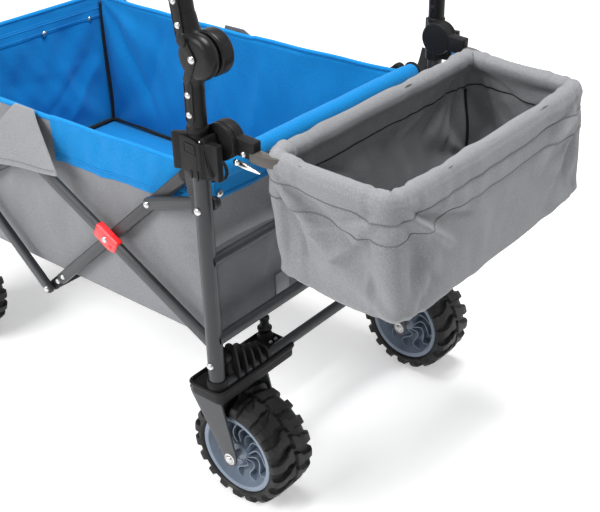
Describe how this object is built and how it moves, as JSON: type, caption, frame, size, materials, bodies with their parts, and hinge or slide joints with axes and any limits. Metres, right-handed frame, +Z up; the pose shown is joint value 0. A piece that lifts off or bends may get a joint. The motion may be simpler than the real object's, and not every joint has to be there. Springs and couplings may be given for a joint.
{
  "type": "folding wagon",
  "caption": "Folding cloth-tub wagon with scissor side frames, swivel casters, a folding push handle, a rear cloth basket and a telescoping pull handle.",
  "frame": {"origin": "on the ground, under the middle of the whole wagon's box", "axes": "+X to the rear, where the push handle and basket are; +Y to the right side of a person who walks towards the front; +Z up"},
  "size_m": [1.203, 0.632, 1.0237],
  "materials": {
    "frame_grey": "satin powder coat",
    "black_plastic": "moulded, fine grain",
    "handle_black": "satin",
    "blue_cloth": "plain weave polyester",
    "grey_cloth": "coarse plain weave polyester",
    "rivet_steel": "bright",
    "lever_chrome": "polished",
    "pull_aluminium": "satin",
    "foam_grip": "foam",
    "red_plastic": "satin moulded",
    "tyre_rubber": "matt tread",
    "hub_plastic": "satin moulded"
  },
  "bodies": {
    "rear_frame": {"rear_post_left": "frame_grey", "rear_post_right": "frame_grey", "rear_rails": "frame_grey", "rear_feet": "black_plastic", "corner_brackets": "black_plastic", "handle_stubs": "handle_black", "drum_housings": "black_plastic", "basket_knuckles": "black_plastic", "tub_end_rear": "grey_cloth", "tub_side_left": "blue_cloth", "tub_side_right": "blue_cloth", "tub_floor": "blue_cloth", "rear_edge_roll": "blue_cloth", "rear_rivets": "rivet_steel"},
    "front_frame": {"front_post_left": "frame_grey", "front_post_right": "frame_grey", "front_rails": "frame_grey", "front_feet": "black_plastic", "front_caps": "black_plastic", "tub_end_front": "grey_cloth", "front_rivets": "rivet_steel", "pull_clevis": "frame_grey"},
    "pull_handle": {"pull_outer_tube": "handle_black"},
    "pull_stage": {"pull_inner_tube": "pull_aluminium", "pull_grip": "black_plastic"},
    "long_rear": {"long_bars_rear": "frame_grey", "pivot_clips_rear": "red_plastic"},
    "long_front": {"long_bars_front": "frame_grey"},
    "short_rear": {"short_bars_rear": "frame_grey", "floor_cross_bar": "black_plastic"},
    "short_front": {"short_bars_front": "frame_grey", "pivot_clips_front": "red_plastic"},
    "link_rear": {"links_rear": "frame_grey"},
    "link_front": {"links_front": "frame_grey"},
    "push_handle": {"push_bar": "handle_black", "push_grip": "foam_grip", "drum_rotors": "black_plastic"},
    "basket": {"basket_frame": "frame_grey", "basket_bag": "grey_cloth", "knuckle_rotors": "black_plastic"},
    "lever_left": {"release_lever_left": "lever_chrome"},
    "lever_right": {"release_lever_right": "lever_chrome"},
    "caster_rear_left": {"fork_rear_left": "frame_grey"},
    "wheel_rear_left": {"tyre_rear_left": "tyre_rubber", "hub_rear_left": "hub_plastic"},
    "lock_rear_left": {"lock_knob_rear_left": "black_plastic"},
    "caster_rear_right": {"fork_rear_right": "frame_grey"},
    "wheel_rear_right": {"tyre_rear_right": "tyre_rubber", "hub_rear_right": "hub_plastic"},
    "lock_rear_right": {"lock_knob_rear_right": "black_plastic"},
    "caster_front_left": {"fork_front_left": "frame_grey"},
    "wheel_front_left": {"tyre_front_left": "tyre_rubber", "hub_front_left": "hub_plastic"},
    "lock_front_left": {"lock_knob_front_left": "black_plastic"},
    "caster_front_right": {"fork_front_right": "frame_grey"},
    "wheel_front_right": {"tyre_front_right": "tyre_rubber", "hub_front_right": "hub_plastic"},
    "lock_front_right": {"lock_knob_front_right": "black_plastic"}
  },
  "joints": [
    {"name": "side_fold", "type": "hinge", "parent": "rear_frame", "child": "long_rear", "pos_m": [0.29904, 0, 0.276], "axis": [0, 1, 0], "range_deg": [0, 45], "deforming": ["tub_side_left", "tub_side_right", "tub_floor"]},
    {"name": "top_fold", "type": "hinge", "parent": "long_rear", "child": "long_front", "pos_m": [-0.12596, 0, 0.501], "axis": [0, 1, 0], "range_deg": [-91, 1]},
    {"name": "front_fold", "type": "hinge", "parent": "long_front", "child": "front_frame", "pos_m": [-0.55096, 0, 0.276], "axis": [0, 1, 0], "range_deg": [-1, 46]},
    {"name": "short_rear_fold", "type": "hinge", "parent": "long_rear", "child": "short_rear", "pos_m": [0.05679, 0, 0.40425], "axis": [0, 1, 0], "range_deg": [-79.99, 1]},
    {"name": "short_front_fold", "type": "hinge", "parent": "long_front", "child": "short_front", "pos_m": [-0.30871, 0, 0.40425], "axis": [0, 1, 0], "range_deg": [-1, 79.99]},
    {"name": "link_rear_fold", "type": "hinge", "parent": "rear_frame", "child": "link_rear", "pos_m": [0.29904, 0, 0.541], "axis": [0, 1, 0], "range_deg": [-1, 89.74]},
    {"name": "link_front_fold", "type": "hinge", "parent": "front_frame", "child": "link_front", "pos_m": [-0.55096, 0, 0.541], "axis": [0, 1, 0], "range_deg": [-89.74, 1]},
    {"name": "push_handle_fold", "type": "hinge", "parent": "rear_frame", "child": "push_handle", "pos_m": [0.32604, 0, 0.771], "axis": [0, 1, 0], "range_deg": [-85, 45]},
    {"name": "basket_fold", "type": "hinge", "parent": "rear_frame", "child": "basket", "pos_m": [0.32304, 0, 0.643], "axis": [0, 1, 0], "range_deg": [-80, 0]},
    {"name": "pull_fold", "type": "hinge", "parent": "front_frame", "child": "pull_handle", "pos_m": [-0.58496, 0, 0.234], "axis": [0, 1, 0], "range_deg": [-100, 0]},
    {"name": "pull_extend", "type": "slide", "parent": "pull_handle", "child": "pull_stage", "axis": [0, 0, 1], "range_m": [0, 0.3]},
    {"name": "lever_left", "type": "hinge", "parent": "basket", "child": "lever_left", "pos_m": [0.3488, 0, 0.61862], "axis": [0, 1, 0], "range_deg": [0, 20], "stiffness_Nm_per_rad": 0.4},
    {"name": "lever_right", "type": "hinge", "parent": "basket", "child": "lever_right", "pos_m": [0.3488, 0, 0.61862], "axis": [0, 1, 0], "range_deg": [0, 20], "stiffness_Nm_per_rad": 0.4},
    {"name": "swivel_rear_left", "type": "hinge", "parent": "rear_frame", "child": "caster_rear_left", "pos_m": [0.26904, -0.236, 0.2], "axis": [0, 0, 1], "continuous": true},
    {"name": "wheel_rear_left_spin", "type": "hinge", "parent": "caster_rear_left", "child": "wheel_rear_left", "pos_m": [0.31504, -0.236, 0.095], "axis": [0, 1, 0], "continuous": true},
    {"name": "lock_rear_left", "type": "slide", "parent": "rear_frame", "child": "lock_rear_left", "axis": [0, 0, 1], "range_m": [-0.009, 0]},
    {"name": "swivel_rear_right", "type": "hinge", "parent": "rear_frame", "child": "caster_rear_right", "pos_m": [0.26904, 0.236, 0.2], "axis": [0, 0, 1], "continuous": true},
    {"name": "wheel_rear_right_spin", "type": "hinge", "parent": "caster_rear_right", "child": "wheel_rear_right", "pos_m": [0.31504, 0.236, 0.095], "axis": [0, 1, 0], "continuous": true},
    {"name": "lock_rear_right", "type": "slide", "parent": "rear_frame", "child": "lock_rear_right", "axis": [0, 0, 1], "range_m": [-0.009, 0]},
    {"name": "swivel_front_left", "type": "hinge", "parent": "front_frame", "child": "caster_front_left", "pos_m": [-0.52096, -0.236, 0.2], "axis": [0, 0, 1], "continuous": true},
    {"name": "wheel_front_left_spin", "type": "hinge", "parent": "caster_front_left", "child": "wheel_front_left", "pos_m": [-0.47496, -0.236, 0.095], "axis": [0, 1, 0], "continuous": true},
    {"name": "lock_front_left", "type": "slide", "parent": "front_frame", "child": "lock_front_left", "axis": [0, 0, 1], "range_m": [-0.009, 0]},
    {"name": "swivel_front_right", "type": "hinge", "parent": "front_frame", "child": "caster_front_right", "pos_m": [-0.52096, 0.236, 0.2], "axis": [0, 0, 1], "continuous": true},
    {"name": "wheel_front_right_spin", "type": "hinge", "parent": "caster_front_right", "child": "wheel_front_right", "pos_m": [-0.47496, 0.236, 0.095], "axis": [0, 1, 0], "continuous": true},
    {"name": "lock_front_right", "type": "slide", "parent": "front_frame", "child": "lock_front_right", "axis": [0, 0, 1], "range_m": [-0.009, 0]}
  ],
  "couplings": [
    {"joint": "top_fold", "follows": "side_fold", "ratio": -2},
    {"joint": "front_fold", "follows": "side_fold", "ratio": 1},
    {"joint": "short_rear_fold", "follows": "side_fold", "ratio": -1.7554},
    {"joint": "short_front_fold", "follows": "side_fold", "ratio": 1.7554},
    {"joint": "link_rear_fold", "follows": "side_fold", "ratio": 1.9719},
    {"joint": "link_front_fold", "follows": "side_fold", "ratio": -1.9719}
  ]
}
